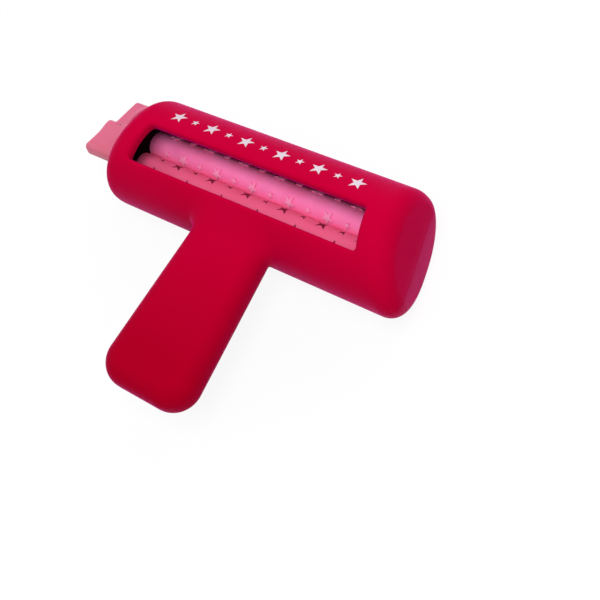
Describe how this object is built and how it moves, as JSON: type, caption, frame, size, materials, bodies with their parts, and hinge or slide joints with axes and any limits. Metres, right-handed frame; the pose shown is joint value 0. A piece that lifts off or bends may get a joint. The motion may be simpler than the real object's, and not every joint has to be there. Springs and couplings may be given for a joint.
{
  "type": "hand embossing machine",
  "caption": "Hand-held T-shaped embossing machine: a turn key drives a pair of geared star rollers that press raised stars into paper fed through the head's window.",
  "frame": {"origin": "on the flat under the head that it rests on, between the paper's exit slot and the handle, on the casing's plane of symmetry", "axes": "+X along the rollers away from the turn key, +Y from the handle to the head, +Z out of the front window"},
  "size_m": [0.1888, 0.133, 0.0497],
  "materials": {
    "casing": "satin",
    "print": "satin",
    "roller": "satin",
    "key": "satin",
    "plate": "matte",
    "bush": "satin",
    "steel": "brushed"
  },
  "bodies": {
    "casing": {"front_shell": "casing", "back_shell": "casing", "star_print": "print", "head_screws": "steel", "handle_screws": "steel", "bearing_plate": "plate", "drive_left_bush": "bush", "drive_right_bush": "bush", "counter_left_bush": "bush", "counter_right_bush": "bush", "key_washer": "plate"},
    "drive": {"drive_sleeve": "roller", "drive_left_hub": "roller", "drive_right_hub": "roller", "drive_shaft": "steel", "drive_gear": "bush", "turn_key": "key", "key_grub_screw": "steel"},
    "counter": {"counter_sleeve": "roller", "counter_left_hub": "roller", "counter_right_hub": "roller", "counter_shaft": "steel", "counter_gear": "bush"}
  },
  "joints": [
    {"name": "key_spin", "type": "hinge", "parent": "casing", "child": "drive", "pos_m": [0, 0.0176, 0.022], "axis": [1, 0, 0], "continuous": true},
    {"name": "counter_spin", "type": "hinge", "parent": "casing", "child": "counter", "pos_m": [0, 0.00463, 0.02291], "axis": [1, 0, 0], "continuous": true}
  ],
  "couplings": [
    {"joint": "counter_spin", "follows": "key_spin", "ratio": -1}
  ]
}
